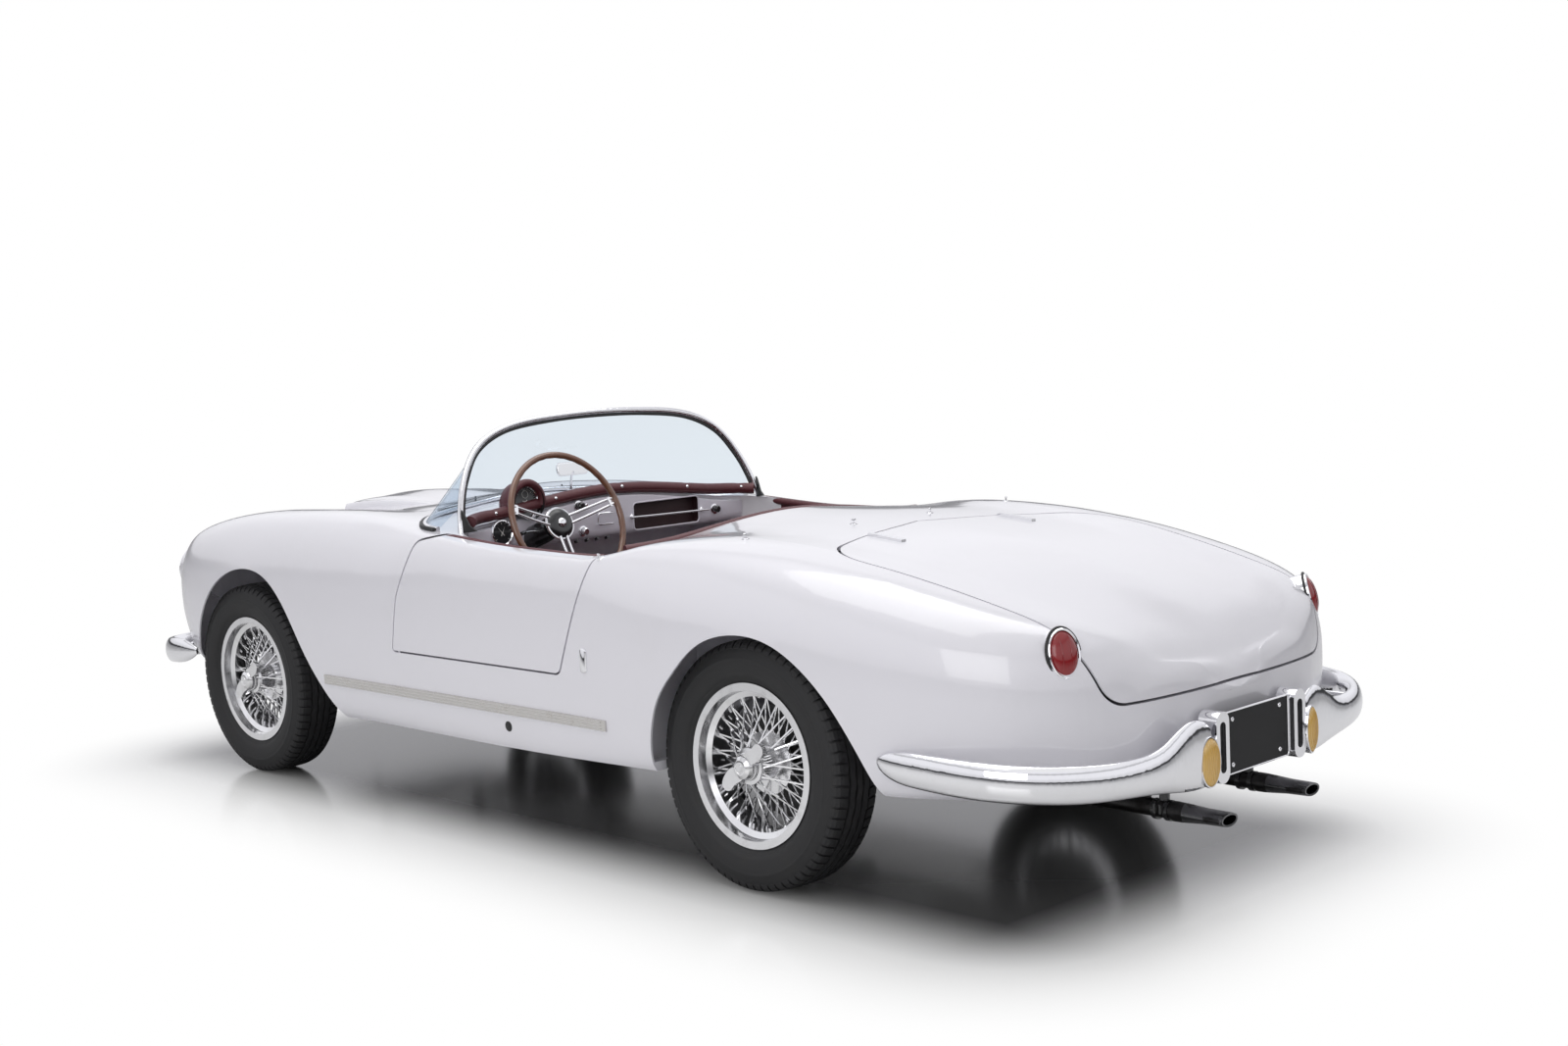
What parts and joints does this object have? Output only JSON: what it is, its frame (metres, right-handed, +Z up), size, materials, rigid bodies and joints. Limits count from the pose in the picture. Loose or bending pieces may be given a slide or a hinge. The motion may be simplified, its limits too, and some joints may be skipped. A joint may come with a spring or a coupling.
{
  "type": "roadster",
  "caption": "Open two-seat roadster with wire wheels, wrap-round windscreen, opening doors, bonnet and boot lid, steered front wheels and a coupled steering wheel",
  "frame": {"origin": "on the floor, mid-length and mid-width of the car", "axes": "front of the car faces -Y, rear +Y; +X is the car's left; +Z up"},
  "size_m": [1.5498, 4.269, 1.1954],
  "materials": {
    "paint": "gloss white body paint",
    "tyre": "matt black rubber",
    "wire_wheel": "bright wire wheel",
    "running_gear": "black painted running gear",
    "dash_paint": "satin grey white paint",
    "leather": "dark red grained leather",
    "black": "gloss black",
    "wood": "varnished dark wood",
    "carpet": "black carpet",
    "screen": "clear glass",
    "lamp_glass": "clear ribbed glass",
    "red_lens": "red lens",
    "amber_lens": "amber lens",
    "steel": "bright steel pipe",
    "bright_strip": "polished strip",
    "chrome": "chromium plate"
  },
  "bodies": {
    "body": {"front_wings_and_nose": "paint", "floor_and_sills": "paint", "scuttle": "paint", "rear_wings": "paint", "tonneau_and_tail": "paint", "boot_floor": "paint", "rear_axle": "running_gear", "front_axle": "running_gear", "engine_block": "running_gear", "dashboard": "dash_paint", "dash_roll": "leather", "steering_column": "black", "seat_left": "leather", "seat_right": "leather", "gearbox_tunnel": "carpet", "gear_lever": "black", "windscreen_frame": "chrome", "windscreen_glass": "screen", "bumpers_rear": "chrome", "bumper_front": "chrome", "tail_lamp_lenses": "red_lens", "tail_lamp_bezels": "chrome", "headlamp_rims": "chrome", "headlamp_lenses": "lamp_glass", "grille": "chrome", "number_plate": "black", "plate_lamps": "chrome", "reflectors": "amber_lens", "sill_strips": "bright_strip", "rear_coaming": "leather", "exhausts": "steel"},
    "bonnet": {"bonnet": "paint"},
    "boot_lid": {"boot_lid": "paint", "lid_hinge_blades": "chrome"},
    "door_left": {"door_left": "paint", "door_trim_left": "leather"},
    "door_right": {"door_right": "paint", "door_trim_right": "leather"},
    "steering_wheel": {"steering_wheel": "wood"},
    "hub_carrier_left": {"knuckle_left": "running_gear"},
    "hub_carrier_right": {"knuckle_right": "running_gear"},
    "wheel_front_left": {"wheel_front_left": "wire_wheel", "tyre_front_left": "tyre"},
    "wheel_front_right": {"wheel_front_right": "wire_wheel", "tyre_front_right": "tyre"},
    "wheel_rear_left": {"wheel_rear_left": "wire_wheel", "tyre_rear_left": "tyre"},
    "wheel_rear_right": {"wheel_rear_right": "wire_wheel", "tyre_rear_right": "tyre"}
  },
  "joints": [
    {"name": "wheel_front_left_spin", "type": "hinge", "parent": "hub_carrier_left", "child": "wheel_front_left", "pos_m": [0.635, -1.38, 0.32195], "axis": [0.9998, 0, -0.0175], "continuous": true},
    {"name": "wheel_front_right_spin", "type": "hinge", "parent": "hub_carrier_right", "child": "wheel_front_right", "pos_m": [-0.635, -1.38, 0.32195], "axis": [0.9998, 0, 0.0175], "continuous": true},
    {"name": "wheel_rear_left_spin", "type": "hinge", "parent": "body", "child": "wheel_rear_left", "pos_m": [0.65, 1.07, 0.32191], "axis": [0.9993, 0, 0.0384], "continuous": true},
    {"name": "wheel_rear_right_spin", "type": "hinge", "parent": "body", "child": "wheel_rear_right", "pos_m": [-0.65, 1.07, 0.32191], "axis": [0.9993, 0, -0.0384], "continuous": true},
    {"name": "steer_left", "type": "hinge", "parent": "body", "child": "hub_carrier_left", "pos_m": [0.53, -1.38, 0.322], "axis": [0, 0, 1], "range_deg": [-26, 26]},
    {"name": "steer_right", "type": "hinge", "parent": "body", "child": "hub_carrier_right", "pos_m": [-0.53, -1.38, 0.322], "axis": [0, 0, 1], "range_deg": [-26, 26]},
    {"name": "steering_wheel_turn", "type": "hinge", "parent": "body", "child": "steering_wheel", "pos_m": [0.33, -0.13, 0.861], "axis": [0, 0.9397, 0.342], "range_deg": [-364, 364]},
    {"name": "door_left_swing", "type": "hinge", "parent": "body", "child": "door_left", "pos_m": [0.75, -0.412, 0.51], "axis": [0, 0, -1], "range_deg": [0, 60]},
    {"name": "door_right_swing", "type": "hinge", "parent": "body", "child": "door_right", "pos_m": [-0.75, -0.412, 0.51], "axis": [0, 0, 1], "range_deg": [0, 60]},
    {"name": "bonnet_lift", "type": "hinge", "parent": "body", "child": "bonnet", "pos_m": [0, -0.56, 0.897], "axis": [-1, 0, 0], "range_deg": [0, 55]},
    {"name": "boot_lid_lift", "type": "hinge", "parent": "body", "child": "boot_lid", "pos_m": [0, 1.075, 0.893], "axis": [1, 0, 0], "range_deg": [0, 60]}
  ],
  "couplings": [
    {"joint": "steer_right", "follows": "steer_left", "ratio": 1},
    {"joint": "steering_wheel_turn", "follows": "steer_left", "ratio": 14}
  ]
}
